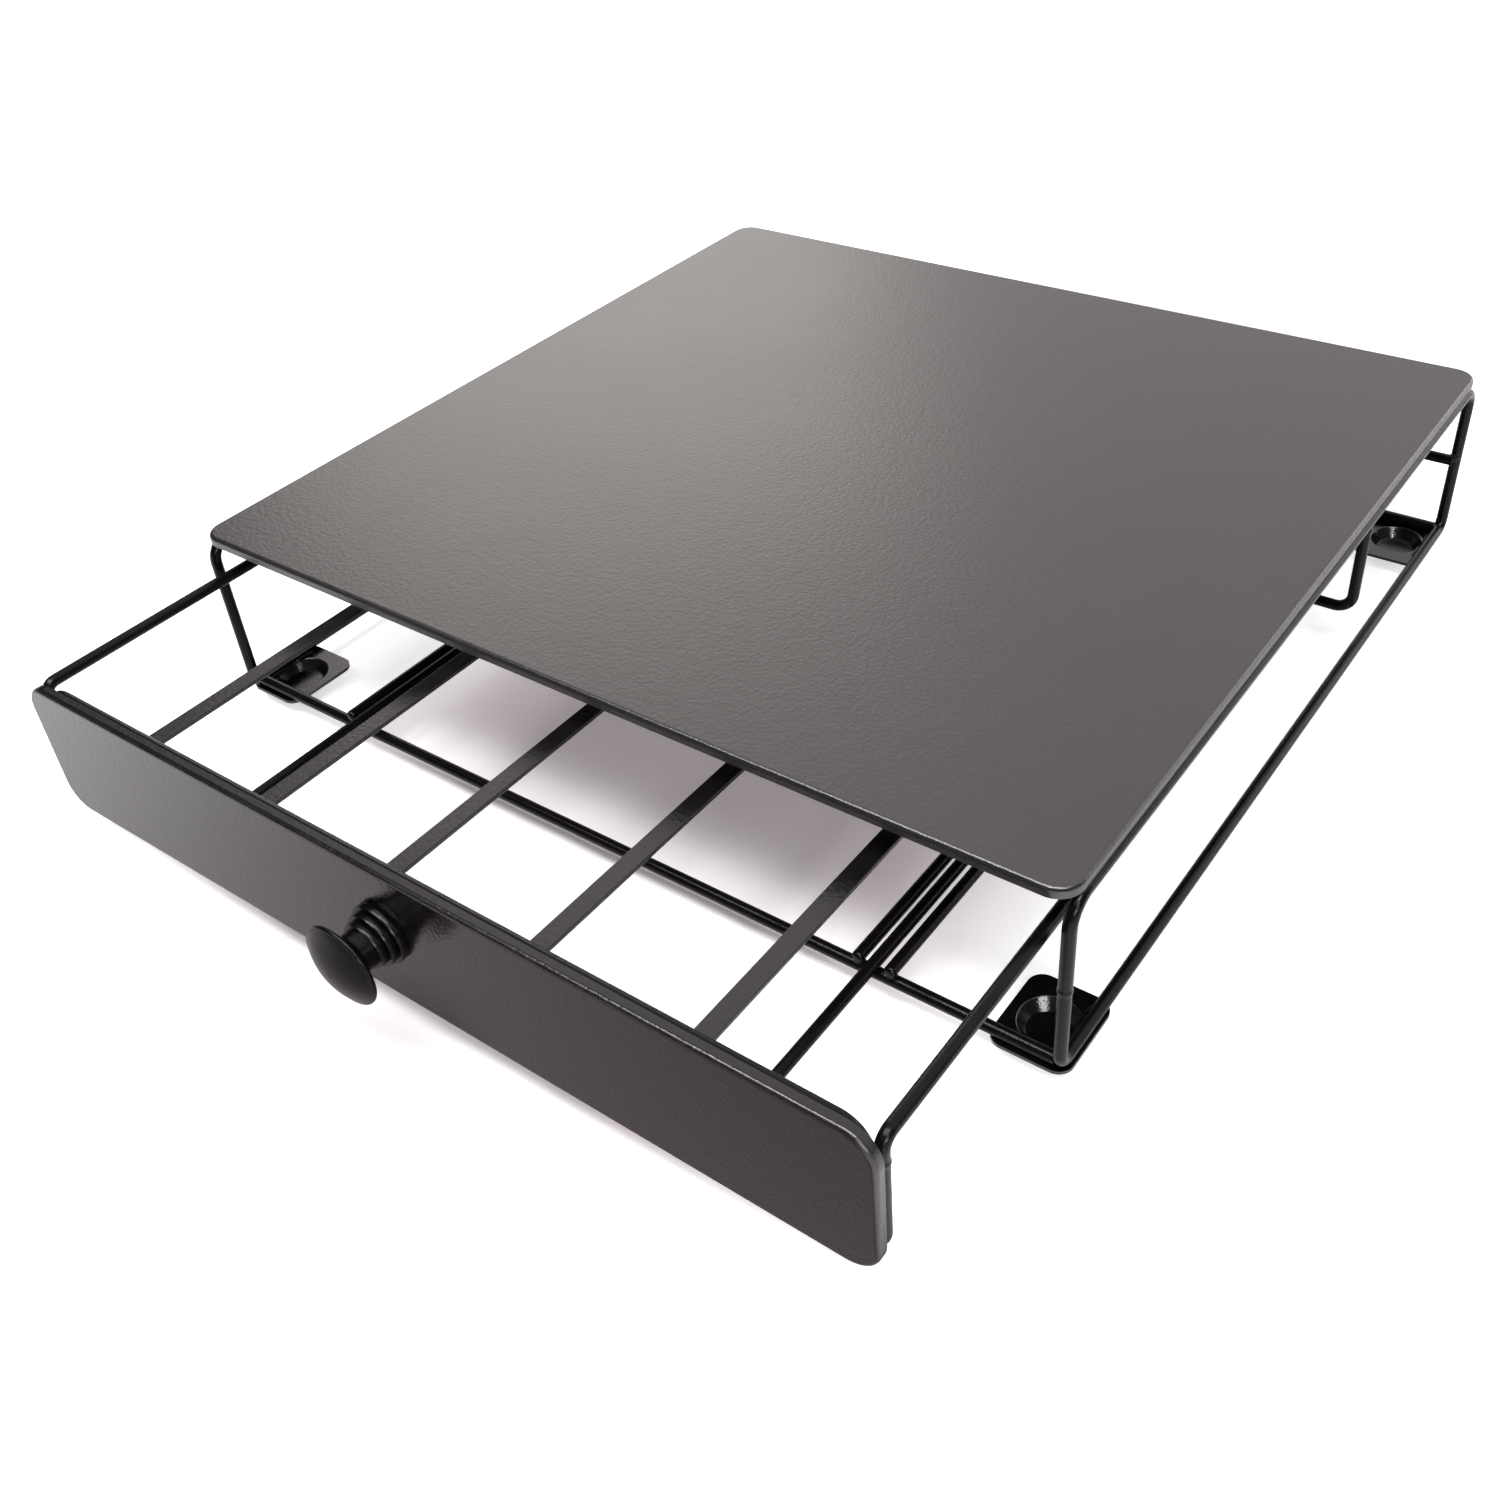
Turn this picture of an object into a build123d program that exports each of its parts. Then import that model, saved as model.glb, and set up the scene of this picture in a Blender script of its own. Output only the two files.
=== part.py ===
from build123d import *
import os

# A stand for a worktop: a flat plate on a wire frame, with a wire drawer that slides out under it.
# Lengths are in millimetres. X runs across, Y runs from the front to the back, Z is up from the worktop.
# The drawer is drawn partly open. The origin is under the middle of the whole, at worktop level.

# Top plate
plate_width = 340.0
plate_depth = 324.0
plate_sheet = 1.0
plate_edge_height = 3.4
plate_edge_radius = 1.5
plate_corner_radius = 8.0

# Wire frame
frame_wire = 4.0
loop_height = 60.3
loop_inset = 1.0
leg_inset = 2.2
loop_top_bend = 8.0
loop_bottom_bend = 4.5
base_wire_inset = 4.0
stop_height_share = 0.52
runner_tip_radius = 1.4

# Feet
foot_width = 25.2
foot_depth = 30.4
foot_sheet = 1.2
foot_corner_radius = 5.0
foot_side_lip = 0.6
foot_end_inset = 0.8
rear_foot_inset = 2.0
cup_diameter = 19.0
cup_floor_diameter = 13.5
cup_depth = 3.6
cup_rim_radius = 0.8
pad_diameter = 13.0
pad_height = 1.5
pad_edge_radius = 0.4

# Drawer
drawer_opening = 76.5
drawer_wire = 4.0
drawer_bend = 6.0
rail_bend = 4.0
joint_drop = 3.5
top_wire_bend = 8.0
top_wire_drop = 0.8
strip_count = 5
strip_width = 6.2
strip_thickness = 1.6
strip_edge_radius = 0.4

# Front panel
panel_sheet = 1.0
panel_depth = 3.5
panel_edge_radius = 1.5
panel_corner_radius = 10.0
panel_rise = 2.4
panel_drop = 4.2
panel_stand_off = 3.5

# Knob and its screw
knob_reach = 20.0
knob_rise = 2.3
knob_head_diameter = 27.0
knob_head_thickness = 6.0
knob_dome_share = 0.6
knob_rim_share = 0.25
knob_neck_diameter = 12.8
knob_flare_share = 0.62
collar_diameter = 19.6
collar_height = 7.8
collar_rings = 3
collar_ring_step = 1.2
collar_ring_bulge = 0.35
screw_diameter = 4.0
screw_depth = 11.0
screw_head_diameter = 8.0
screw_head_height = 2.6
screw_head_radius = 0.9
screw_slot_width = 1.1
screw_slot_length = 4.6
screw_slot_depth = 1.4

# Clearances
panel_side_gap = 2.5
head_room = 8.8
slide_gap = 0.3
runner_side_gap = 1.5
stop_gap = 0.4
screw_hole_gap = 0.3
bore_end_gap = 1.0
cut_overrun = 1.0

# Heights
foot_bottom = pad_height + cup_depth
foot_top = foot_bottom + foot_sheet
base_height = foot_top + frame_wire / 2
loop_top = base_height + loop_height
plate_bottom = loop_top + frame_wire / 2
runner_height = base_height + frame_wire
stop_height = base_height + loop_height * stop_height_share
glide_height = base_height + frame_wire / 2 + slide_gap + drawer_wire / 2
drawer_bottom = glide_height + drawer_wire
panel_top = plate_bottom - head_room
rail_height = panel_top - panel_rise - drawer_wire / 2
joint_height = rail_height - rail_bend - joint_drop
top_wire_end = rail_height - top_wire_bend - top_wire_drop
panel_bottom = drawer_bottom - drawer_wire / 2 - panel_drop
panel_height = panel_top - panel_bottom
panel_middle = (panel_top + panel_bottom) / 2
knob_height = panel_middle + knob_rise
strip_top = rail_height - drawer_wire / 2

# Places across the width
loop_x = plate_width / 2 - loop_inset
loop_inner_x = loop_x - frame_wire / 2
panel_width = 2 * (loop_inner_x - panel_side_gap)
rail_x = panel_width / 2 - drawer_wire / 2
rail_inner_x = rail_x - drawer_wire / 2
top_wire_x = rail_inner_x - drawer_wire / 2
slot_width = (2 * rail_inner_x - strip_count * strip_width) / (strip_count + 1)
strip_pitch = slot_width + strip_width
glide_x = strip_pitch * (strip_count - 1) / 2
runner_offset = (frame_wire + drawer_wire) / 2 + runner_side_gap
foot_x = loop_x + frame_wire / 2 + foot_side_lip - foot_width / 2

# Places along the depth, with the whole of it centred on the origin
reach_front = drawer_opening + panel_stand_off + knob_reach
reach_rear = max(0, frame_wire / 2 - leg_inset)
plate_front = reach_front - (reach_front + plate_depth + reach_rear) / 2
plate_rear = plate_front + plate_depth
plate_middle = (plate_front + plate_rear) / 2
leg_front = plate_front + leg_inset
leg_rear = plate_rear - leg_inset
base_front = plate_front + base_wire_inset
base_rear = plate_rear - base_wire_inset
runner_front = base_front - frame_wire / 2
runner_rear = base_rear + frame_wire / 2
stop_y = leg_rear - frame_wire
face_closed = plate_front - panel_stand_off
face_y = face_closed - drawer_opening
drawer_front = face_y + panel_depth + drawer_wire / 2
drawer_rear = stop_y - frame_wire / 2 - stop_gap - drawer_wire / 2 - drawer_opening
foot_front = leg_front - frame_wire / 2 + foot_end_inset + foot_depth / 2
foot_rear = leg_rear + frame_wire / 2 - foot_end_inset - foot_depth / 2

sides = (("left", -1), ("right", 1))
os.makedirs("parts", exist_ok=True)


def keep(piece, label):
    piece.part.label = label
    export_step(piece.part, f"parts/{label}.step")


def bent_wire(label, points, bends, diameter, closed=False):
    with BuildPart() as wire:
        with BuildLine() as route:
            FilletPolyline(*points, radius=bends, close=closed)
        with BuildSketch(Plane(origin=route.line @ 0, z_dir=route.line % 0)):
            Circle(diameter / 2)
        sweep()
    keep(wire, label)


def straight_wire(label, start, end, diameter, tip_radius=0):
    run = Vector(*end) - Vector(*start)
    with BuildPart() as wire:
        with BuildSketch(Plane(origin=start, z_dir=run)):
            Circle(diameter / 2)
        extrude(amount=run.length)
        if tip_radius:
            fillet(wire.edges().filter_by(GeomType.CIRCLE), radius=tip_radius)
    keep(wire, label)


# Top plate: a sheet pan, open below
with BuildPart() as top_plate:
    with BuildSketch(Plane.XY.offset(plate_bottom)):
        with Locations((0, plate_middle)):
            RectangleRounded(plate_width, plate_depth, plate_corner_radius)
    extrude(amount=plate_edge_height)
    fillet(top_plate.faces().sort_by(Axis.Z)[-1].edges(), radius=plate_edge_radius)
    offset(amount=-plate_sheet, openings=top_plate.faces().sort_by(Axis.Z)[0])
keep(top_plate, "top_plate")

# Side loops: one closed wire each, under the plate's edge and down to the feet
for side, sign in sides:
    loop_points = [
        (sign * loop_x, leg_front, base_height),
        (sign * loop_x, leg_rear, base_height),
        (sign * loop_x, leg_rear, loop_top),
        (sign * loop_x, leg_front, loop_top),
    ]
    loop_bends = [loop_bottom_bend, loop_bottom_bend, loop_top_bend, loop_top_bend]
    bent_wire(f"{side}_side_loop", loop_points, loop_bends, frame_wire, closed=True)

# Cross wires of the frame
for label, y in (("front_base_wire", base_front), ("rear_base_wire", base_rear)):
    straight_wire(label, (-loop_inner_x, y, base_height), (loop_inner_x, y, base_height), frame_wire)
straight_wire("rear_stop_wire", (-loop_x, stop_y, stop_height), (loop_x, stop_y, stop_height), frame_wire)

# Runner wires: a pair on each side, lying on the base wires, with the drawer's bottom wire between them
for side, sign in sides:
    for place, shift in (("inner", -runner_offset), ("outer", runner_offset)):
        runner_x = sign * (glide_x + shift)
        runner_start = (runner_x, runner_front, runner_height)
        runner_end = (runner_x, runner_rear, runner_height)
        straight_wire(f"{side}_{place}_runner", runner_start, runner_end, frame_wire, runner_tip_radius)

# Feet: a flat plate with a pressed cup, and a pad under the cup
cup_radius = cup_diameter / 2
cup_floor_radius = cup_floor_diameter / 2
for side, sign in sides:
    for place, inset, y in (("front", 0, foot_front), ("rear", rear_foot_inset, foot_rear)):
        x = sign * (foot_x - inset)
        with BuildPart() as foot:
            with BuildSketch(Plane.XY.offset(foot_bottom)):
                with Locations((x, y)):
                    RectangleRounded(foot_width, foot_depth, foot_corner_radius)
            extrude(amount=foot_sheet)
            with BuildSketch(Plane.XZ.offset(-y)):
                with Locations((x, 0)):
                    Polygon(
                        (0, pad_height),
                        (cup_floor_radius + foot_sheet, pad_height),
                        (cup_radius + foot_sheet, foot_bottom),
                        (0, foot_bottom),
                        align=None,
                    )
            revolve(axis=Axis((x, y, 0), (0, 0, 1)))
            with BuildSketch(Plane.XZ.offset(-y)):
                with Locations((x, 0)):
                    Polygon(
                        (0, pad_height + foot_sheet),
                        (cup_floor_radius, pad_height + foot_sheet),
                        (cup_radius, foot_top),
                        (0, foot_top),
                        align=None,
                    )
            revolve(axis=Axis((x, y, 0), (0, 0, 1)), mode=Mode.SUBTRACT)
            cup_rim = foot.edges().filter_by(GeomType.CIRCLE).group_by(Axis.Z)[-1].sort_by(SortBy.RADIUS)[-1]
            fillet(cup_rim, radius=cup_rim_radius)
        keep(foot, f"{place}_{side}_foot")
        with BuildPart() as pad:
            with BuildSketch(Plane.XY):
                with Locations((x, y)):
                    Circle(pad_diameter / 2)
            extrude(amount=pad_height)
            fillet(pad.faces().sort_by(Axis.Z)[0].edges(), radius=pad_edge_radius)
        keep(pad, f"{place}_{side}_pad")

# Front panel of the drawer: a sheet pan, open at the back, with a hole for the knob's screw
with BuildPart() as front_panel:
    with BuildSketch(Plane.XZ.offset(-face_y)):
        with Locations((0, panel_middle)):
            RectangleRounded(panel_width, panel_height, panel_corner_radius)
    extrude(amount=-panel_depth)
    fillet(front_panel.faces().sort_by(Axis.Y)[0].edges(), radius=panel_edge_radius)
    offset(amount=-panel_sheet, openings=front_panel.faces().sort_by(Axis.Y)[-1])
    with BuildSketch(Plane.XZ.offset(cut_overrun - face_y)):
        with Locations((0, knob_height)):
            Circle(screw_diameter / 2 + screw_hole_gap)
    extrude(amount=-(panel_sheet + 2 * cut_overrun), mode=Mode.SUBTRACT)
keep(front_panel, "front_panel")

# U wires that hold the drawer's shape, behind the panel and at the back
for label, y in (("drawer_front_frame", drawer_front), ("drawer_rear_frame", drawer_rear)):
    frame_points = [
        (-rail_x, y, joint_height),
        (-rail_x, y, drawer_bottom),
        (rail_x, y, drawer_bottom),
        (rail_x, y, joint_height),
    ]
    bent_wire(label, frame_points, drawer_bend, drawer_wire)

# Top rails: their ends are bent down and meet the U wires end to end
for side, sign in sides:
    rail_points = [
        (sign * rail_x, drawer_front, joint_height),
        (sign * rail_x, drawer_front, rail_height),
        (sign * rail_x, drawer_rear, rail_height),
        (sign * rail_x, drawer_rear, joint_height),
    ]
    bent_wire(f"{side}_drawer_rail", rail_points, rail_bend, drawer_wire)

# Top cross wires between the rails: their ends are bent down beside the rails' ends
for label, y in (("front_top_wire", drawer_front), ("rear_top_wire", drawer_rear)):
    top_wire_points = [
        (-top_wire_x, y, top_wire_end),
        (-top_wire_x, y, rail_height),
        (top_wire_x, y, rail_height),
        (top_wire_x, y, top_wire_end),
    ]
    bent_wire(label, top_wire_points, top_wire_bend, drawer_wire)

# Flat strips under the top cross wires
strip_front = drawer_front - drawer_wire / 2
strip_length = drawer_rear + drawer_wire / 2 - strip_front
for number in range(strip_count):
    strip_x = strip_pitch * (number - (strip_count - 1) / 2)
    with BuildPart() as strip:
        with BuildSketch(Plane.XZ.offset(-strip_front)):
            with Locations((strip_x, strip_top - strip_thickness / 2)):
                RectangleRounded(strip_width, strip_thickness, strip_edge_radius)
        extrude(amount=-strip_length)
    keep(strip, f"strip_{number + 1}")

# Bottom wires of the drawer, under the U wires
for side, sign in sides:
    glide_start = (sign * glide_x, drawer_front - drawer_wire / 2, glide_height)
    glide_end = (sign * glide_x, drawer_rear + drawer_wire / 2, glide_height)
    straight_wire(f"{side}_bottom_wire", glide_start, glide_end, drawer_wire)

# Knob, drawn as a half section and turned about its own line: across is the radius, up is away from the panel
knob_plane = Plane(origin=(0, face_y, knob_height), x_dir=(0, 0, 1), z_dir=(1, 0, 0))
knob_line = Axis((0, face_y, knob_height), (0, 1, 0))
ring_height = collar_height / collar_rings
head_radius = knob_head_diameter / 2
neck_radius = knob_neck_diameter / 2
head_back = knob_reach - knob_head_thickness
rim_front = knob_reach - knob_head_thickness * knob_dome_share
rim_back = rim_front - knob_head_thickness * knob_rim_share
flare_radius = head_radius * knob_flare_share
neck_bend = (neck_radius, (collar_height + head_back) / 2)
rim_radius = head_radius - (rim_front - rim_back) / 2
bore_depth = screw_depth - panel_sheet + bore_end_gap
with BuildPart() as knob:
    with BuildSketch(knob_plane):
        with BuildLine():
            Line((0, knob_reach), (0, 0))
            Line((0, 0), (collar_diameter / 2, 0))
            for number in range(collar_rings):
                ring_radius = collar_diameter / 2 - number * collar_ring_step
                ring_low = (ring_radius, number * ring_height)
                ring_high = (ring_radius, (number + 1) * ring_height)
                ring_middle = (ring_radius + collar_ring_bulge, (number + 1 / 2) * ring_height)
                ThreePointArc(ring_low, ring_middle, ring_high)
                if number + 1 < collar_rings:
                    Line(ring_high, (ring_radius - collar_ring_step, (number + 1) * ring_height))
            Line((ring_radius, collar_height), (neck_radius, collar_height))
            Line((neck_radius, collar_height), neck_bend)
            TangentArc(neck_bend, (flare_radius, head_back), tangent=(0, 1))
            Line((flare_radius, head_back), (rim_radius, rim_back))
            rim_middle = (head_radius, (rim_front + rim_back) / 2)
            ThreePointArc((rim_radius, rim_back), rim_middle, (rim_radius, rim_front))
            TangentArc((0, knob_reach), (rim_radius, rim_front), tangent=(1, 0))
        make_face()
    revolve(axis=knob_line)
    with BuildSketch(knob_plane):
        Rectangle(screw_diameter / 2, bore_depth, align=(Align.MIN, Align.MIN))
    revolve(axis=knob_line, mode=Mode.SUBTRACT)
keep(knob, "knob")

# Knob screw: its head lies on the back of the panel, its shank fills the knob's bore
screw_seat = face_y + panel_sheet
with BuildPart() as knob_screw:
    with BuildSketch(Plane.XZ.offset(-screw_seat)):
        with Locations((0, knob_height)):
            Circle(screw_diameter / 2)
    extrude(amount=screw_depth)
    with BuildSketch(Plane.XZ.offset(-screw_seat)):
        with Locations((0, knob_height)):
            Circle(screw_head_diameter / 2)
    extrude(amount=-screw_head_height)
    fillet(knob_screw.faces().sort_by(Axis.Y)[-1].edges(), radius=screw_head_radius)
    with BuildSketch(Plane.XZ.offset(-(screw_seat + screw_head_height + cut_overrun))):
        with Locations((0, knob_height)):
            Rectangle(screw_slot_width, screw_slot_length)
            Rectangle(screw_slot_length, screw_slot_width)
    extrude(amount=screw_slot_depth + cut_overrun, mode=Mode.SUBTRACT)
keep(knob_screw, "knob_screw")
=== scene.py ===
import math
import bmesh
import bpy
from mathutils import Matrix, Vector, noise


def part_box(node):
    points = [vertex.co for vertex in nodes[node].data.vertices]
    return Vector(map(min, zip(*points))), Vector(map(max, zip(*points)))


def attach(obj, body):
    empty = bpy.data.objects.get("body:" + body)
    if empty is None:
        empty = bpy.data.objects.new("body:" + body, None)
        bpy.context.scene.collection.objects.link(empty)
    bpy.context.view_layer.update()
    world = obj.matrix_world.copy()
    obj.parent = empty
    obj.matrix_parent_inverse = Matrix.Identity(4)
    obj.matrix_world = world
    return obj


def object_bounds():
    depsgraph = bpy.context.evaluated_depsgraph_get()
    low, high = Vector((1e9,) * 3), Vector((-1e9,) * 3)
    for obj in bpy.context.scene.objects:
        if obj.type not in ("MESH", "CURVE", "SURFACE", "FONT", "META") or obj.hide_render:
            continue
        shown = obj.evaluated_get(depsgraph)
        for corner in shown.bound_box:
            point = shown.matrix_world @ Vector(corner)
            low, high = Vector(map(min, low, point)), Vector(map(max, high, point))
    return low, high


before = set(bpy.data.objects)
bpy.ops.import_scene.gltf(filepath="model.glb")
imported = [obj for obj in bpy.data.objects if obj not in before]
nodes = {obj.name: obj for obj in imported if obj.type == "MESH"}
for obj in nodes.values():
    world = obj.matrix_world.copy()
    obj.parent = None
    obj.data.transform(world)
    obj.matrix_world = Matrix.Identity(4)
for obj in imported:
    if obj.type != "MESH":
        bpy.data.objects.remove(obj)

scene = bpy.context.scene
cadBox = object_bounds()
print("frame loaded:", len(nodes), "nodes")


def midOf(nodeName):
    low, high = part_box(nodeName)
    return (low + high) / 2


def halfOf(nodeName):
    low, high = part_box(nodeName)
    return (high - low) / 2


def between(low, high, share):
    return low + (high - low) * share


def namesEnding(ending):
    return [name for name in nodes if name.endswith(ending)]


# node tree helpers

def addNode(tree, kind, **values):
    node = tree.nodes.new(kind)
    for key, value in values.items():
        setattr(node, key, value)
    return node


def setInputs(node, **values):
    for key, value in values.items():
        node.inputs[key.replace("_", " ")].default_value = value
    return node


def feed(tree, value, socket):  # a link, a colour or a number
    if isinstance(value, bpy.types.NodeSocket):
        tree.links.new(value, socket)
    elif isinstance(value, tuple):
        socket.default_value = (*value, 1.0)
    else:
        socket.default_value = value


def mathNode(tree, operation, first, second=None, clamp=False):
    node = addNode(tree, "ShaderNodeMath", operation=operation, use_clamp=clamp)
    feed(tree, first, node.inputs[0])
    if second is not None:
        feed(tree, second, node.inputs[1])
    return node.outputs[0]


def rangeNode(tree, value, low, high, toLow=0.0, toHigh=1.0):
    node = addNode(tree, "ShaderNodeMapRange", clamp=True)
    for socket, item in zip(node.inputs, (value, low, high, toLow, toHigh)):
        feed(tree, item, socket)
    return node.outputs[0]


def noiseNode(tree, vector, scale, detail=2.0, roughness=0.5):
    node = addNode(tree, "ShaderNodeTexNoise")
    setInputs(node, Detail=detail, Roughness=roughness)
    feed(tree, scale, node.inputs["Scale"])
    feed(tree, vector, node.inputs["Vector"])
    return node.outputs["Fac"]


mixSockets = {"factor": 0, "first": 6, "second": 7, "result": 2}  # the colour sockets of a Mix node


def mixColours(tree, factor, first, second):
    node = addNode(tree, "ShaderNodeMix", data_type="RGBA")
    for key, value in (("factor", factor), ("first", first), ("second", second)):
        feed(tree, value, node.inputs[mixSockets[key]])
    return node.outputs[mixSockets["result"]]


def objectPlace(tree):
    return addNode(tree, "ShaderNodeTexCoord").outputs["Object"]


def splitVector(tree, vector):
    parts = addNode(tree, "ShaderNodeSeparateXYZ")
    tree.links.new(vector, parts.inputs[0])
    return parts.outputs


def faceNormal(tree):
    return splitVector(tree, addNode(tree, "ShaderNodeNewGeometry").outputs["Normal"])


def addBump(tree, shader, height, strength, depth):
    bump = setInputs(addNode(tree, "ShaderNodeBump"), Strength=strength, Distance=depth)
    tree.links.new(height, bump.inputs["Height"])
    tree.links.new(bump.outputs["Normal"], shader.inputs["Normal"])


def startMaterial(name):
    material = bpy.data.materials.new(name)
    material.use_nodes = True
    return material, material.node_tree, material.node_tree.nodes["Principled BSDF"]


def startGroup(name, inputs, outputs):
    tree = bpy.data.node_groups.new(name, "ShaderNodeTree")
    for label, value in inputs:
        socket = tree.interface.new_socket(label, in_out="INPUT", socket_type="NodeSocketFloat")
        socket.default_value = value
    for label in outputs:
        tree.interface.new_socket(label, in_out="OUTPUT", socket_type="NodeSocketFloat")
    return tree, tree.nodes.new("NodeGroupInput"), tree.nodes.new("NodeGroupOutput")


def placeGroup(tree, group, **values):
    return setInputs(addNode(tree, "ShaderNodeGroup", node_tree=group), **values).outputs


# shared effects

grainLook = {
    "peelDetail": 2.0, "peelRough": 0.45, "peelWeight": 0.9,
    "waveScale": 0.18, "waveWeight": 0.1,  # long waves under the peel, their scale a share of its own
    "cloudDetail": 4.0, "cloudRough": 0.6, "cloudEdges": (0.3, 0.7),
    "speckScale": 1.7, "speckDetail": 1.0, "speckEdges": (0.66, 0.76),
}


def makePowderGrain(look):
    # orange peel of a baked powder coat, with slow clouds and small pale specks
    tree, inside, outside = startGroup(
        "powderGrain", [("Peel Scale", 900.0), ("Cloud Scale", 14.0)], ["Height", "Cloud", "Speck"])
    where = objectPlace(tree)
    peelScale = inside.outputs["Peel Scale"]
    peel = noiseNode(tree, where, peelScale, look["peelDetail"], look["peelRough"])
    wave = noiseNode(tree, where, mathNode(tree, "MULTIPLY", peelScale, look["waveScale"]))
    peel = mathNode(tree, "MULTIPLY", peel, look["peelWeight"])
    wave = mathNode(tree, "MULTIPLY", wave, look["waveWeight"])
    cloud = noiseNode(tree, where, inside.outputs["Cloud Scale"], look["cloudDetail"], look["cloudRough"])
    speckScale = mathNode(tree, "MULTIPLY", peelScale, look["speckScale"])
    speck = noiseNode(tree, where, speckScale, look["speckDetail"])
    tree.links.new(mathNode(tree, "ADD", peel, wave), outside.inputs["Height"])
    tree.links.new(rangeNode(tree, cloud, *look["cloudEdges"]), outside.inputs["Cloud"])
    tree.links.new(rangeNode(tree, speck, *look["speckEdges"]), outside.inputs["Speck"])
    return tree


rubAndHighlightLook = {
    "flat": 0.985, "bent": 0.78,  # largest part of the normal on a flat face and on a rounded edge
    "patchScale": 160.0, "patchDetail": 4.0, "patchRough": 0.65, "patchEdges": (0.42, 0.62),
}


# rounded edges painted lighter: rubbed wear, and a painted highlight line along them
def makeEdgeRubAndHighlight(look):
    # rounded edges are those whose normal lies between the main directions
    tree, inside, outside = startGroup("edgeRubAndHighlight", [("Break Up", 0.6)], ["Mask"])
    sizes = [mathNode(tree, "ABSOLUTE", part) for part in faceNormal(tree)]
    largest = mathNode(tree, "MAXIMUM", mathNode(tree, "MAXIMUM", sizes[0], sizes[1]), sizes[2])
    bend = rangeNode(tree, largest, look["flat"], look["bent"])
    where = objectPlace(tree)
    patches = noiseNode(tree, where, look["patchScale"], look["patchDetail"], look["patchRough"])
    patches = rangeNode(tree, patches, *look["patchEdges"])
    breaks = mathNode(tree, "MULTIPLY", patches, inside.outputs["Break Up"])
    kept = mathNode(tree, "SUBTRACT", 1.0, breaks)
    tree.links.new(mathNode(tree, "MULTIPLY", bend, kept, clamp=True), outside.inputs["Mask"])
    return tree


dustLook = {
    "upEdges": (0.55, 1.0),  # how far up a face has to look
    "driftScale": 38.0, "driftDetail": 5.0, "driftRough": 0.7, "driftEdges": (0.45, 0.75),
}


def makeSettledDust(look):
    # a faint bloom on faces that look up
    tree, inside, outside = startGroup("settledDust", [("Amount", 0.3)], ["Mask"])
    facingUp = rangeNode(tree, faceNormal(tree)["Z"], *look["upEdges"])
    where = objectPlace(tree)
    drift = noiseNode(tree, where, look["driftScale"], look["driftDetail"], look["driftRough"])
    bloom = mathNode(tree, "MULTIPLY", facingUp, rangeNode(tree, drift, *look["driftEdges"]))
    tree.links.new(mathNode(tree, "MULTIPLY", bloom, inside.outputs["Amount"]), outside.inputs["Mask"])
    return tree


powderGrain = makePowderGrain(grainLook)
edgeRubAndHighlight = makeEdgeRubAndHighlight(rubAndHighlightLook)
settledDust = makeSettledDust(dustLook)
print("shared effects ready")


# finishes

def coatMaterial(name, look):
    material, tree, shader = startMaterial(name)
    grain = placeGroup(tree, powderGrain, Peel_Scale=look["peelScale"], Cloud_Scale=look["cloudScale"])
    colour = mixColours(tree, grain["Cloud"], look["deep"], look["pale"])
    speck = mathNode(tree, "MULTIPLY", grain["Speck"], look["speck"])
    colour = mixColours(tree, speck, colour, look["speckTint"])
    rough = rangeNode(tree, grain["Cloud"], 0.0, 1.0, *look["rough"])
    if look["rubAndHighlight"] > 0:
        rubAndHighlightMask = placeGroup(tree, edgeRubAndHighlight, Break_Up=look["rubAndHighlightBreak"])["Mask"]
        rubAndHighlightShare = mathNode(tree, "MULTIPLY", rubAndHighlightMask, look["rubAndHighlight"])
        # rounded edges painted lighter: rubbed wear and a painted highlight line
        colour = mixColours(tree, rubAndHighlightShare, colour, look["rubAndHighlightTint"])
        rough = mathNode(tree, "SUBTRACT", rough, mathNode(tree, "MULTIPLY", rubAndHighlightShare, look["rubPolish"]))
    dust = placeGroup(tree, settledDust, Amount=look["dust"])["Mask"]
    colour = mixColours(tree, dust, colour, look["dustTint"])
    dulled = mathNode(tree, "MULTIPLY", dust, look["dustRough"])
    tree.links.new(colour, shader.inputs["Base Color"])
    tree.links.new(mathNode(tree, "ADD", rough, dulled, clamp=True), shader.inputs["Roughness"])
    addBump(tree, shader, grain["Height"], look["peel"], look["peelDepth"])
    setInputs(shader, Metallic=0.0, IOR=look["ior"])
    return material


def dress(material, *names):
    for name in names:
        mesh = nodes[name].data
        mesh.materials.clear()
        mesh.materials.append(material)


plateCoat = {
    "deep": (0.0046, 0.0040, 0.0035), "pale": (0.0074, 0.0066, 0.0059),
    "speck": 0.35, "speckTint": (0.036, 0.034, 0.031),
    "rough": (0.315, 0.335), "peelScale": 720.0, "cloudScale": 14.0,
    "peel": 0.52, "peelDepth": 0.00022,
    # its rounded edges painted lighter: rubbed wear and a painted highlight line
    "rubAndHighlight": 0.06, "rubAndHighlightBreak": 0.5, "rubAndHighlightTint": (0.06, 0.057, 0.054), "rubPolish": 0.8,
    "dust": 0.05, "dustTint": (0.06, 0.057, 0.054), "dustRough": 0.2, "ior": 1.85,
}
panelCoat = {
    **plateCoat, "deep": (0.0020, 0.0012, 0.0014), "pale": (0.0032, 0.0021, 0.0024),
    "speckTint": (0.016, 0.013, 0.014), "rough": (0.17, 0.20), "peel": 0.45,
    # its rounded edges painted lighter too: rubbed wear and a painted highlight line
    "rubAndHighlightTint": (0.04, 0.036, 0.036), "rubPolish": -3.0,  # dull at its edges
    "dust": 0.04, "dustTint": (0.03, 0.028, 0.028), "ior": 1.66,
}
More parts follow.
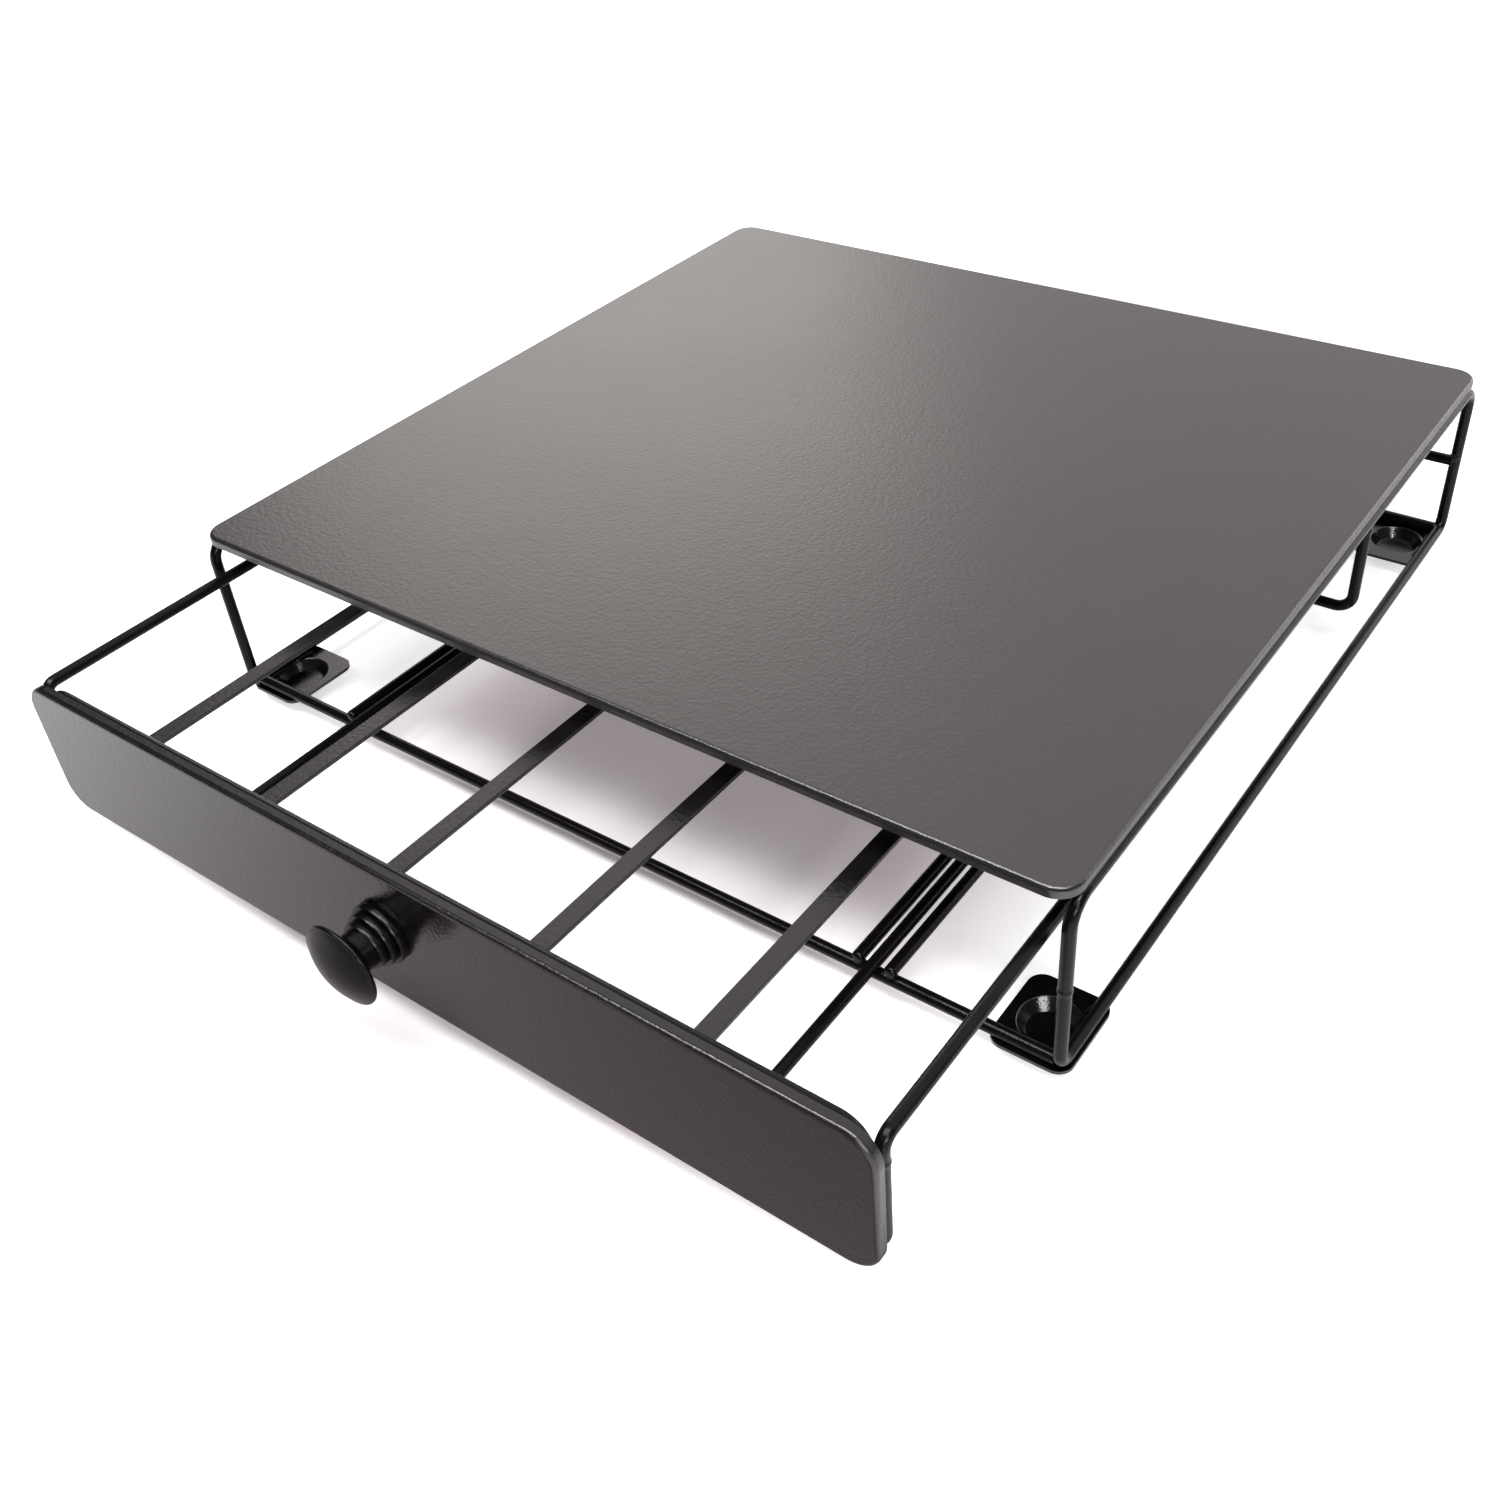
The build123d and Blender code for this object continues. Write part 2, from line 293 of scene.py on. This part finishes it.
stripCoat = {
    **plateCoat, "deep": (0.0020, 0.0016, 0.0013), "pale": (0.0034, 0.0028, 0.0024),
    "speckTint": (0.020, 0.018, 0.016), "rough": (0.24, 0.30),
    "dust": 0.05, "dustTint": (0.03, 0.028, 0.026), "ior": 1.68,
}
wireCoat = {
    "deep": (0.0018, 0.0015, 0.0015), "pale": (0.0034, 0.0029, 0.0029),
    "speck": 0.25, "speckTint": (0.02, 0.019, 0.019),
    "rough": (0.19, 0.26), "peelScale": 1600.0, "cloudScale": 60.0,
    "peel": 0.5, "peelDepth": 0.00015, "rubAndHighlight": 0.0,
    "dust": 0.05, "dustTint": (0.03, 0.029, 0.028), "dustRough": 0.2, "ior": 1.29,
}
footCoat = {
    **wireCoat, "deep": (0.0010, 0.0009, 0.0009), "pale": (0.0020, 0.0018, 0.0018),
    "rough": (0.12, 0.18), "cloudScale": 90.0,
    # its rounded edges painted lighter: rubbed wear and a painted highlight line
    "rubAndHighlight": 0.2, "rubAndHighlightBreak": 0.5, "rubAndHighlightTint": (0.03, 0.029, 0.028), "rubPolish": 0.06, "ior": 1.6,
}
knobCoat = {
    **wireCoat, "deep": (0.0012, 0.0010, 0.0010), "pale": (0.0022, 0.0019, 0.0019),
    "rough": (0.21, 0.27), "peelScale": 1800.0, "cloudScale": 45.0,
    "peel": 0.35, "dust": 0.03, "ior": 1.33,
}

stripNames = sorted(name for name in nodes if name.startswith("strip_"))
frameWires = ["left_side_loop", "right_side_loop", "front_base_wire", "rear_base_wire", "rear_stop_wire"]
frameWires += namesEnding("_runner")
drawerWires = ["drawer_front_frame", "drawer_rear_frame", "left_drawer_rail", "right_drawer_rail"]
drawerWires += ["front_top_wire", "rear_top_wire", "left_bottom_wire", "right_bottom_wire"]
wireMaterial = coatMaterial("wire_dip_coat", wireCoat)
dress(wireMaterial, *frameWires, *drawerWires)
dress(coatMaterial("plate_powder_coat", plateCoat), "top_plate")
dress(coatMaterial("panel_powder_coat", panelCoat), "front_panel")
dress(coatMaterial("strip_powder_coat", stripCoat), *stripNames)
dress(coatMaterial("foot_press_coat", footCoat), *namesEnding("_foot"))
dress(coatMaterial("knob_satin_coat", knobCoat), "knob")
print("coats applied")

padRubber = {
    "deep": (0.012, 0.012, 0.012), "pale": (0.026, 0.026, 0.026), "rough": (0.72, 0.88),
    "grain": 700.0, "grainDetail": 4.0, "grainRough": 0.7, "grainEdges": (0.2, 0.8),
    "bump": 0.4, "bumpDepth": 0.0002,
}


def rubberMaterial(look):
    material, tree, shader = startMaterial("pad_rubber")
    grain = noiseNode(tree, objectPlace(tree), look["grain"], look["grainDetail"], look["grainRough"])
    tree.links.new(mixColours(tree, grain, look["deep"], look["pale"]), shader.inputs["Base Color"])
    rough = rangeNode(tree, grain, *look["grainEdges"], *look["rough"])
    tree.links.new(rough, shader.inputs["Roughness"])
    addBump(tree, shader, grain, look["bump"], look["bumpDepth"])
    return material


screwZinc = {
    "deep": (0.42, 0.41, 0.39), "pale": (0.58, 0.57, 0.55), "rough": (0.28, 0.44),
    "blotch": 600.0, "blotchDetail": 3.0, "blotchEdges": (0.3, 0.7),
    "turnScale": 5200.0, "turnWander": 3.0, "turnDetail": 2.0,  # rings left by turning
    "bump": 0.15, "bumpDepth": 0.00005,
}


def zincMaterial(look):
    material, tree, shader = startMaterial("screw_zinc")
    where = objectPlace(tree)
    shifted = addNode(tree, "ShaderNodeVectorMath", operation="SUBTRACT")
    tree.links.new(where, shifted.inputs[0])
    shifted.inputs[1].default_value = midOf("knob_screw")
    rings = addNode(tree, "ShaderNodeTexWave", wave_type="RINGS", rings_direction="Y")
    setInputs(rings, Scale=look["turnScale"], Distortion=look["turnWander"], Detail=look["turnDetail"])
    tree.links.new(shifted.outputs[0], rings.inputs["Vector"])
    blotch = noiseNode(tree, where, look["blotch"], look["blotchDetail"])
    tree.links.new(mixColours(tree, blotch, look["deep"], look["pale"]), shader.inputs["Base Color"])
    rough = rangeNode(tree, blotch, *look["blotchEdges"], *look["rough"])
    tree.links.new(rough, shader.inputs["Roughness"])
    addBump(tree, shader, rings.outputs["Fac"], look["bump"], look["bumpDepth"])
    setInputs(shader, Metallic=1.0)
    return material


dress(rubberMaterial(padRubber), *namesEnding("_pad"))
dress(zincMaterial(screwZinc), "knob_screw")
print("rubber and zinc applied")

# weld beads, worked out from where the wires meet

wireRadius = halfOf("front_base_wire").z
upward = Vector((0, 0, 1))
weldLook = {
    "nugget": 0.0013,  # radius of a spot weld at a crossing
    "fineness": 3, "lump": 0.16, "lumpScale": 1.7, "lumpSeed": 900.0,  # how uneven a bead is
    "ringRise": 0.00022, "ringReach": 0.0016,  # how far a butt weld stands out, and half its length
    "ringSkirt": 0.99,  # where its edge starts, as a share of the wire's radius
    "ringTurns": 28, "ringSteps": 9, "ringLump": 2.5, "ringScale": 1.6, "ringSeed": 700.0,
}


def spotSizes(shares):
    return [weldLook["nugget"] * share for share in shares]


def addBead(mesh, centre, sizes):
    made = bmesh.ops.create_icosphere(mesh, subdivisions=weldLook["fineness"], radius=1.0)
    for vertex in made["verts"]:
        spot = vertex.co * weldLook["lumpScale"] + centre * weldLook["lumpSeed"]
        bulge = 1.0 + weldLook["lump"] * noise.noise(spot)
        vertex.co = centre + Vector([vertex.co[i] * bulge * sizes[i] for i in range(3)])


def addButtRing(mesh, centre, along):
    across = along.orthogonal().normalized()
    third = along.cross(across)
    turns, steps = weldLook["ringTurns"], weldLook["ringSteps"]
    rows = []
    for step in range(steps):
        share = 2.0 * step / (steps - 1) - 1.0
        rise = weldLook["ringRise"] * math.cos(share * math.pi / 2) ** 2
        middle = centre + along * share * weldLook["ringReach"]
        row = []
        for turn in range(turns):
            angle = 2.0 * math.pi * turn / turns
            outward = across * math.cos(angle) + third * math.sin(angle)
            seed = outward * weldLook["ringScale"] + along * share + centre * weldLook["ringSeed"]
            lump = 1.0 + weldLook["ringLump"] * weldLook["lump"] * noise.noise(seed)
            radius = wireRadius * weldLook["ringSkirt"] + rise * lump
            row.append(mesh.verts.new(middle + outward * radius))
        rows.append(row)
    for low, high in zip(rows, rows[1:]):
        for turn in range(turns):
            after = (turn + 1) % turns
            mesh.faces.new((low[turn], low[after], high[after], high[turn]))


def finishWelds(mesh, name, body):
    bmesh.ops.recalc_face_normals(mesh, faces=mesh.faces)
    data = bpy.data.meshes.new(name)
    mesh.to_mesh(data)
    mesh.free()
    for face in data.polygons:
        face.use_smooth = True
    data.materials.append(wireMaterial)
    piece = bpy.data.objects.new(name, data)
    scene.collection.objects.link(piece)
    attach(piece, body)


# half sizes and offsets of spot welds are counted in nuggets
frameWeldLook = {
    "leg": (1.0, 1.3, 1.2), "legRise": 0.4,
    "stop": (1.6, 0.8, 1.3), "stopInset": 0.5,
    "runner": (1.3, 1.3, 0.9),
    "toe": (0.0011, 0.0045, 0.0009),  # half sizes of a fillet weld on a foot, in metres
    "toeInset": 0.4, "toeRise": 0.3, "toePlaces": (0.32, 0.74),  # shares of the bead and of the foot
}


def makeFrameWelds(look):
    mesh = bmesh.new()
    nugget, toe = weldLook["nugget"], look["toe"]
    baseZ = midOf("front_base_wire").z
    baseRows = [midOf(name).y for name in ("front_base_wire", "rear_base_wire")]
    stop = midOf("rear_stop_wire")
    for side, sign in (("left", -1), ("right", 1)):
        loop = f"{side}_side_loop"
        low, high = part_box(loop)
        loopX = midOf(loop).x
        inner = loopX - sign * wireRadius
        # both sides are the same loop, turned end for end
        legY = high.y - wireRadius if side == "left" else low.y + wireRadius
        addButtRing(mesh, Vector((loopX, legY, (low.z + high.z) / 2)), upward)
        for y in baseRows:
            addBead(mesh, Vector((inner, y, baseZ + nugget * look["legRise"])), spotSizes(look["leg"]))
        contact = Vector((loopX - sign * nugget * look["stopInset"], stop.y + wireRadius, stop.z))
        addBead(mesh, contact, spotSizes(look["stop"]))
        for place in ("inner", "outer"):
            runnerX = midOf(f"{side}_{place}_runner").x
            for y in baseRows:
                addBead(mesh, Vector((runnerX, y, baseZ + wireRadius)), spotSizes(look["runner"]))
        for place in ("front", "rear"):
            footLow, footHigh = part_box(f"{place}_{side}_foot")
            toeX = inner - sign * toe[0] * look["toeInset"]
            toeZ = footHigh.z + toe[2] * look["toeRise"]
            for share in look["toePlaces"]:
                addBead(mesh, Vector((toeX, between(footLow.y, footHigh.y, share), toeZ)), toe)
    finishWelds(mesh, "frame_welds", "frame")


drawerWeldLook = {
    "lap": (0.9, 0.7, 1.9), "lapRise": 2.0,
    "bottom": (1.3, 1.3, 0.9),
    "strip": (1.5, 1.3, 0.7),
    "tack": (0.6, 0.6, 1.8), "tackProud": 0.2,
    "tackPlaces": (0.42, 0.82),  # shares of the front frame's height
    "lapSpread": 0.55, "tackInset": 0.5,  # shares of the wire's radius
}


def makeDrawerWelds(look):
    mesh = bmesh.new()
    nugget = weldLook["nugget"]
    for place in ("front", "rear"):
        frameName = f"drawer_{place}_frame"
        low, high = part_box(frameName)
        y = midOf(frameName).y
        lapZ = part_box(f"{place}_top_wire")[0].z + nugget * look["lapRise"]
        for side, sign in (("left", -1), ("right", 1)):
            railX = midOf(f"{side}_drawer_rail").x
            addButtRing(mesh, Vector((railX, y, high.z)), upward)
            for face in (-1, 1):  # the valley between a rail's end and a top wire's end, front and back
                lapY = y + face * wireRadius * look["lapSpread"]
                addBead(mesh, Vector((railX - sign * wireRadius, lapY, lapZ)), spotSizes(look["lap"]))
            bottomX = midOf(f"{side}_bottom_wire").x
            addBead(mesh, Vector((bottomX, y, low.z)), spotSizes(look["bottom"]))
        for name in stripNames:
            addBead(mesh, Vector((midOf(name).x, y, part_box(name)[1].z)), spotSizes(look["strip"]))
    low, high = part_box("drawer_front_frame")
    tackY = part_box("front_panel")[1].y + nugget * look["tackProud"]
    tackReach = halfOf("drawer_front_frame").x - wireRadius * look["tackInset"]
    for sign in (-1, 1):
        tackX = midOf("drawer_front_frame").x + sign * tackReach
        for share in look["tackPlaces"]:
            addBead(mesh, Vector((tackX, tackY, between(low.z, high.z, share))), spotSizes(look["tack"]))
    finishWelds(mesh, "drawer_welds", "drawer")


makeFrameWelds(frameWeldLook)
makeDrawerWelds(drawerWeldLook)
print("welds made")

# floor, light and camera

floorLook = {
    "half": 4.0, "cells": 8, "gap": 0.0002, "colour": (0.87, 0.865, 0.87), "pale": (0.90, 0.90, 0.90),
    "cloud": 3.0, "cloudDetail": 4.0, "cloudEdges": (0.3, 0.7), "rough": (0.30, 0.40), "specular": 0.35,
    # the camera alone sees it lifted: a little under the object, where a painted pink tint colours the
    # shade; more at its sides, painted light that washes out the object's shadow there; to white far off
    "lift": 0.14, "paintedShadeTint": (1.0, 0.80, 0.90),
    "paintedSideLift": 0.62, "sideTint": (1.0, 0.98, 0.99), "sideFrom": 0.06, "sideTo": 0.135,
    "farLift": 1.0, "farFrom": 0.45, "farTo": 1.5,
    # glossy rays alone see painted shade and painted light: the panel mirrors it dimmed before it,
    # brightest at the left
    "paintedMirrorShade": (0.245, 0.205, 0.217), "paintedMirrorLight": 0.25,
    "dimRight": 0.15, "dimLeft": -0.24, "dimFade": 2.0,
    "dimEnd": (0.168, 0.18), "dimFront": (-0.10, -0.19),
}


def floorMaterial(look):
    material, tree, shader = startMaterial("pale_floor")
    where = objectPlace(tree)
    parts = splitVector(tree, where)
    rays = addNode(tree, "ShaderNodeLightPath").outputs
    cloud = noiseNode(tree, where, look["cloud"], look["cloudDetail"])
    rough = rangeNode(tree, cloud, *look["cloudEdges"], *look["rough"])
    tree.links.new(rough, shader.inputs["Roughness"])
    setInputs(shader, Specular_IOR_Level=look["specular"])

    # mirrored in the panel: painted shade before it, painted light to the left, for glossy rays alone
    left = rangeNode(tree, parts["X"], look["dimRight"], look["dimLeft"])
    left = mathNode(tree, "POWER", left, look["dimFade"])
    before = rangeNode(tree, parts["Y"], *look["dimFront"])
    within = rangeNode(tree, parts["X"], *look["dimEnd"], 1.0, 0.0)
    shade = mathNode(tree, "MULTIPLY", mathNode(tree, "SUBTRACT", 1.0, left), rays["Is Glossy Ray"])
    shade = mathNode(tree, "MULTIPLY", shade, mathNode(tree, "MULTIPLY", before, within))
    colour = mixColours(tree, cloud, look["colour"], look["pale"])
    tree.links.new(mixColours(tree, shade, colour, look["paintedMirrorShade"]), shader.inputs["Base Color"])
    mirrored = mathNode(tree, "MULTIPLY", left, look["paintedMirrorLight"])
    mirrored = mathNode(tree, "MULTIPLY", rays["Is Glossy Ray"], mirrored)

    # shown to the camera: painted light that whitens the object's shadow beside it, white far from it,
    # and the painted pink shade tint between
    reach = addNode(tree, "ShaderNodeVectorMath", operation="LENGTH")
    tree.links.new(where, reach.inputs[0])
    far = rangeNode(
        tree, reach.outputs["Value"], look["farFrom"], look["farTo"], look["lift"], look["farLift"])
    aside = rangeNode(tree, mathNode(tree, "ABSOLUTE", parts["X"]), look["sideFrom"], look["sideTo"])
    paintedSideLight = rangeNode(tree, aside, 0.0, 1.0, look["lift"], look["paintedSideLift"])
    shown = mathNode(tree, "MULTIPLY", rays["Is Camera Ray"], mathNode(tree, "MAXIMUM", far, paintedSideLight))
    tint = mixColours(tree, aside, look["paintedShadeTint"], look["sideTint"])
    tree.links.new(tint, shader.inputs["Emission Color"])
    tree.links.new(mathNode(tree, "ADD", shown, mirrored), shader.inputs["Emission Strength"])
    return material


def makeFloor(look):
    mesh = bmesh.new()
    bmesh.ops.create_grid(mesh, x_segments=look["cells"], y_segments=look["cells"], size=look["half"])
    data = bpy.data.meshes.new("floor")
    mesh.to_mesh(data)
    mesh.free()
    data.materials.append(floorMaterial(look))
    floor = bpy.data.objects.new("floor", data)
    floor.location.z = cadBox[0][2] - look["gap"]
    scene.collection.objects.link(floor)


worldLook = {
    "white": (1.0, 1.0, 1.0), "ambient": (1.0, 0.94, 0.97), "ambientLevel": 0.28,
    "roomLight": (1.0, 0.94, 0.93), "roomDark": (0.09, 0.086, 0.086),  # what the coats mirror
    "lightSide": (0.0, 0.8, 0.6), "lightFrom": 0.50, "lightTo": 0.75,
}


def addBackground(tree, colour, level=1.0):
    node = setInputs(addNode(tree, "ShaderNodeBackground"), Strength=level)
    feed(tree, colour, node.inputs["Color"])
    return node.outputs[0]


def mixShaders(tree, factor, first, second):
    node = addNode(tree, "ShaderNodeMixShader")
    for socket, value in zip(node.inputs, (factor, first, second)):
        tree.links.new(value, socket)
    return node.outputs[0]


def makeWorld(look):
    world = bpy.data.worlds.new("pale_room")
    scene.world = world
    world.use_nodes = True
    tree = world.node_tree
    tree.nodes.clear()
    rays = addNode(tree, "ShaderNodeLightPath").outputs
    facing = addNode(tree, "ShaderNodeVectorMath", operation="DOT_PRODUCT")
    tree.links.new(addNode(tree, "ShaderNodeTexCoord").outputs["Generated"], facing.inputs[0])
    facing.inputs[1].default_value = look["lightSide"]
    share = rangeNode(tree, facing.outputs["Value"], look["lightFrom"], look["lightTo"])
    ambient = addBackground(tree, look["ambient"], look["ambientLevel"])
    mirrored = addBackground(tree, mixColours(tree, share, look["roomDark"], look["roomLight"]))
    seen = mathNode(tree, "MAXIMUM", rays["Is Camera Ray"], rays["Is Transmission Ray"])
    lit = mixShaders(tree, rays["Is Glossy Ray"], ambient, mirrored)
    whole = mixShaders(tree, seen, lit, addBackground(tree, look["white"]))
    tree.links.new(whole, addNode(tree, "ShaderNodeOutputWorld").inputs[0])


lampLooks = {
    "sheen": {
        "place": (-1.62, 1.51, 1.01), "aim": (0.0, 0.05, 0.07), "size": (1.2, 0.8),
        "watts": 5.4, "tint": (1.0, 0.96, 0.93),
    },
    "key": {
        "place": (0.1, -0.66, 1.95), "aim": (0.0, 0.0, 0.0), "size": (2.4, 0.6),
        "watts": 54.0, "tint": (1.0, 0.99, 0.98),
    },
    "side": {
        "place": (1.14, -0.92, 0.58), "aim": (0.15, -0.1, 0.03), "size": (0.7, 0.25),
        "watts": 8.0, "tint": (1.0, 0.99, 0.98), "spares": "top_plate",  # or the plate glares from behind
    },
    "cup": {
        "place": (0.9, -0.6, 0.95), "aim": (0.157, 0.19, 0.0), "size": (0.22, 0.14),
        "watts": 2.0, "tint": (1.0, 0.99, 0.98), "spares": "top_plate",
    },
    "rim": {
        "place": (0.89, 1.36, 0.36), "aim": (0.17, 0.1, 0.07), "size": (1.2, 0.5),
        "watts": 3.6, "tint": (1.0, 0.98, 0.97),
    },
}


def makeLamp(name, look):
    lamp = bpy.data.lights.new(name, "AREA")
    lamp.shape = "RECTANGLE"
    lamp.size, lamp.size_y = look["size"]
    lamp.energy = look["watts"]
    lamp.color = look["tint"]
    holder = bpy.data.objects.new(name, lamp)
    holder.location = look["place"]
    toAim = Vector(look["aim"]) - Vector(look["place"])
    holder.rotation_euler = toAim.to_track_quat("-Z", "Y").to_euler()
    scene.collection.objects.link(holder)
    if "spares" in look:  # light linking: this lamp passes one node by
        unlit = bpy.data.collections.new(f"{name}_spares")
        unlit.objects.link(nodes[look["spares"]])
        unlit.collection_objects[0].light_linking.link_state = "EXCLUDE"
        holder.light_linking.receiver_collection = unlit


# the camera stands at the photograph's place, measured from the middle of the plate's front edge
cameraLook = {
    "place": (0.28346, -0.25207, 0.27283),
    "azimuth": 39.505, "elevation": 37.665, "roll": -5.158,
    "focalPixels": 1554.8, "imagePixels": 1500.0, "centre": (753.96, 707.93),
    "sensor": 36.0, "nearest": 0.01,
}


def makeCamera(look):
    plateLow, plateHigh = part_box("top_plate")
    edge = Vector(((plateLow.x + plateHigh.x) / 2, plateLow.y, plateHigh.z))
    turn, tilt, roll = (math.radians(look[key]) for key in ("azimuth", "elevation", "roll"))
    back = Vector((math.sin(turn) * math.cos(tilt), -math.cos(turn) * math.cos(tilt), math.sin(tilt)))
    right = (-back).cross(upward).normalized()
    up = right.cross(-back)
    rolledRight = right * math.cos(roll) + up * math.sin(roll)
    rolledUp = up * math.cos(roll) - right * math.sin(roll)
    pixels = look["imagePixels"]
    camera = bpy.data.cameras.new("camera")
    camera.sensor_width = look["sensor"]
    camera.lens = look["sensor"] * look["focalPixels"] / pixels
    camera.shift_x = (pixels / 2 - look["centre"][0]) / pixels
    camera.shift_y = (look["centre"][1] - pixels / 2) / pixels
    camera.clip_start = look["nearest"]
    holder = bpy.data.objects.new("camera", camera)
    facing = Matrix((rolledRight, rolledUp, back)).transposed().to_4x4()
    holder.matrix_world = Matrix.Translation(edge + Vector(look["place"])) @ facing
    scene.collection.objects.link(holder)
    scene.camera = holder


makeFloor(floorLook)
makeWorld(worldLook)
for lampName, lampLook in lampLooks.items():
    makeLamp(lampName, lampLook)
makeCamera(cameraLook)
scene.view_settings.view_transform = "Standard"
print("floor, light and camera set")
